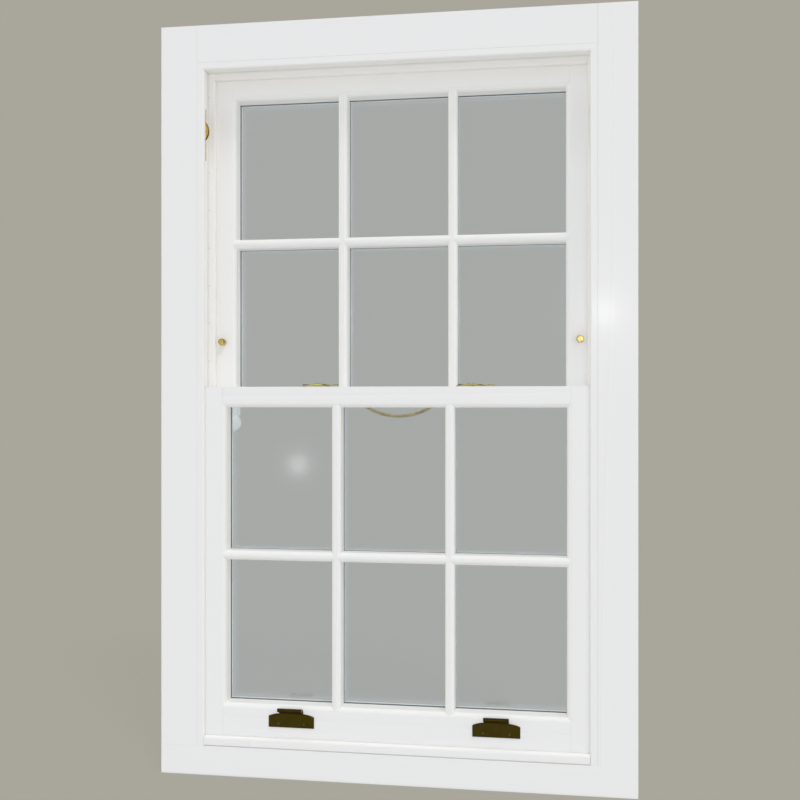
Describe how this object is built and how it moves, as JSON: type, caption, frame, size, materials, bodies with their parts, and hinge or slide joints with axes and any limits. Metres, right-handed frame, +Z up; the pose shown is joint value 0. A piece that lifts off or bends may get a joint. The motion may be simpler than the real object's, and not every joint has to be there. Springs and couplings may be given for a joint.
{
  "type": "sash window",
  "caption": "Double-hung sliding sash window in its box frame, with small sealed panes, moulded bars, weights, pulleys and brass fittings.",
  "frame": {"origin": "middle of the sill's underside, half-way through the depth of the box frame", "axes": "+Z up, +Y from the room to the outside, +X to the right seen from the room"},
  "size_m": [1, 0.197, 1.6],
  "materials": {
    "painted_timber": "satin white paint",
    "bare_timber": "planed softwood",
    "pane_glass": "clear sealed panes",
    "spacer_bar": "white satin",
    "weight_iron": "rough cast",
    "polished_brass": "polished",
    "bronzed_brass": "bronzed satin",
    "pin_steel": "turned"
  },
  "bodies": {
    "frame": {"sill": "painted_timber", "inside_lining_left": "painted_timber", "inside_lining_right": "painted_timber", "inside_lining_head": "painted_timber", "outside_lining_left": "painted_timber", "outside_lining_right": "painted_timber", "outside_lining_head": "painted_timber", "back_linings": "painted_timber", "pulley_stile_left": "painted_timber", "pulley_stile_right": "painted_timber", "pocket_pieces": "painted_timber", "head_board": "painted_timber", "parting_slips": "bare_timber", "staff_bead_left": "painted_timber", "staff_bead_right": "painted_timber", "staff_bead_head": "painted_timber", "staff_bead_sill": "painted_timber", "parting_bead_left": "painted_timber", "parting_bead_right": "painted_timber", "parting_bead_head": "painted_timber", "pulley_cases": "polished_brass", "pulley_axle_pins": "pin_steel"},
    "upper_sash": {"upper_stile_left": "painted_timber", "upper_stile_right": "painted_timber", "upper_top_rail": "painted_timber", "upper_meeting_rail": "painted_timber", "upper_upright_bars": "painted_timber", "upper_cross_bars": "painted_timber", "upper_glazing_beads": "painted_timber", "upper_panes": "pane_glass", "upper_pane_spacers": "spacer_bar", "fastener_keeps": "polished_brass", "d_handle": "polished_brass", "stop_bushes": "polished_brass"},
    "lower_sash": {"lower_stile_left": "painted_timber", "lower_stile_right": "painted_timber", "lower_bottom_rail": "painted_timber", "lower_meeting_rail": "painted_timber", "lower_upright_bars": "painted_timber", "lower_cross_bars": "painted_timber", "lower_glazing_beads": "painted_timber", "lower_panes": "pane_glass", "lower_pane_spacers": "spacer_bar", "sash_lift_left": "bronzed_brass", "sash_lift_right": "bronzed_brass", "fastener_bases": "polished_brass"},
    "fastener_lever_left": {"fastener_lever_left": "polished_brass"},
    "sash_stop_left": {"sash_stop_left": "polished_brass"},
    "upper_weight_left": {"upper_weight_left": "weight_iron"},
    "upper_pulley_wheel_left": {"upper_pulley_wheel_left": "polished_brass"},
    "lower_weight_left": {"lower_weight_left": "weight_iron"},
    "lower_pulley_wheel_left": {"lower_pulley_wheel_left": "polished_brass"},
    "fastener_lever_right": {"fastener_lever_right": "polished_brass"},
    "sash_stop_right": {"sash_stop_right": "polished_brass"},
    "upper_weight_right": {"upper_weight_right": "weight_iron"},
    "upper_pulley_wheel_right": {"upper_pulley_wheel_right": "polished_brass"},
    "lower_weight_right": {"lower_weight_right": "weight_iron"},
    "lower_pulley_wheel_right": {"lower_pulley_wheel_right": "polished_brass"}
  },
  "joints": [
    {"name": "lower_sash_slide", "type": "slide", "parent": "frame", "child": "lower_sash", "axis": [0, 0, 1], "range_m": [0, 0.0915]},
    {"name": "upper_sash_slide", "type": "slide", "parent": "frame", "child": "upper_sash", "axis": [0, 0, 1], "range_m": [-0.0915, 0]},
    {"name": "fastener_turn_left", "type": "hinge", "parent": "lower_sash", "child": "fastener_lever_left", "pos_m": [-0.17, -0.0285, 0.8282], "axis": [0, 0, 1], "range_deg": [-180, 0]},
    {"name": "fastener_turn_right", "type": "hinge", "parent": "lower_sash", "child": "fastener_lever_right", "pos_m": [0.161, -0.0285, 0.8282], "axis": [0, 0, 1], "range_deg": [-180, 0]},
    {"name": "stop_screw_left", "type": "slide", "parent": "upper_sash", "child": "sash_stop_left", "axis": [0, -1, 0], "range_m": [0, 0.014]},
    {"name": "stop_screw_right", "type": "slide", "parent": "upper_sash", "child": "sash_stop_right", "axis": [0, -1, 0], "range_m": [0, 0.014]},
    {"name": "lower_weight_fall_left", "type": "slide", "parent": "frame", "child": "lower_weight_left", "axis": [0, 0, 1], "range_m": [-0.0935, 0.002]},
    {"name": "lower_pulley_spin_left", "type": "hinge", "parent": "frame", "child": "lower_pulley_wheel_left", "pos_m": [-0.43875, -0.0335, 1.387], "axis": [0, 1, 0], "range_deg": [-193.4, 1]},
    {"name": "lower_weight_fall_right", "type": "slide", "parent": "frame", "child": "lower_weight_right", "axis": [0, 0, 1], "range_m": [-0.0935, 0.002]},
    {"name": "lower_pulley_spin_right", "type": "hinge", "parent": "frame", "child": "lower_pulley_wheel_right", "pos_m": [0.43875, -0.0335, 1.387], "axis": [0, 1, 0], "range_deg": [-1, 193.4]},
    {"name": "upper_weight_fall_left", "type": "slide", "parent": "frame", "child": "upper_weight_left", "axis": [0, 0, 1], "range_m": [-0.002, 0.0935]},
    {"name": "upper_pulley_spin_left", "type": "hinge", "parent": "frame", "child": "upper_pulley_wheel_left", "pos_m": [-0.43875, 0.029, 1.387], "axis": [0, 1, 0], "range_deg": [-1, 193.4]},
    {"name": "upper_weight_fall_right", "type": "slide", "parent": "frame", "child": "upper_weight_right", "axis": [0, 0, 1], "range_m": [-0.002, 0.0935]},
    {"name": "upper_pulley_spin_right", "type": "hinge", "parent": "frame", "child": "upper_pulley_wheel_right", "pos_m": [0.43875, 0.029, 1.387], "axis": [0, 1, 0], "range_deg": [-193.4, 1]}
  ],
  "couplings": [
    {"joint": "lower_weight_fall_left", "follows": "lower_sash_slide", "ratio": -1},
    {"joint": "lower_pulley_spin_left", "follows": "lower_sash_slide", "rad_per_m": -36.697},
    {"joint": "lower_weight_fall_right", "follows": "lower_sash_slide", "ratio": -1},
    {"joint": "lower_pulley_spin_right", "follows": "lower_sash_slide", "rad_per_m": 36.697},
    {"joint": "upper_weight_fall_left", "follows": "upper_sash_slide", "ratio": -1},
    {"joint": "upper_pulley_spin_left", "follows": "upper_sash_slide", "rad_per_m": -36.697},
    {"joint": "upper_weight_fall_right", "follows": "upper_sash_slide", "ratio": -1},
    {"joint": "upper_pulley_spin_right", "follows": "upper_sash_slide", "rad_per_m": 36.697}
  ]
}
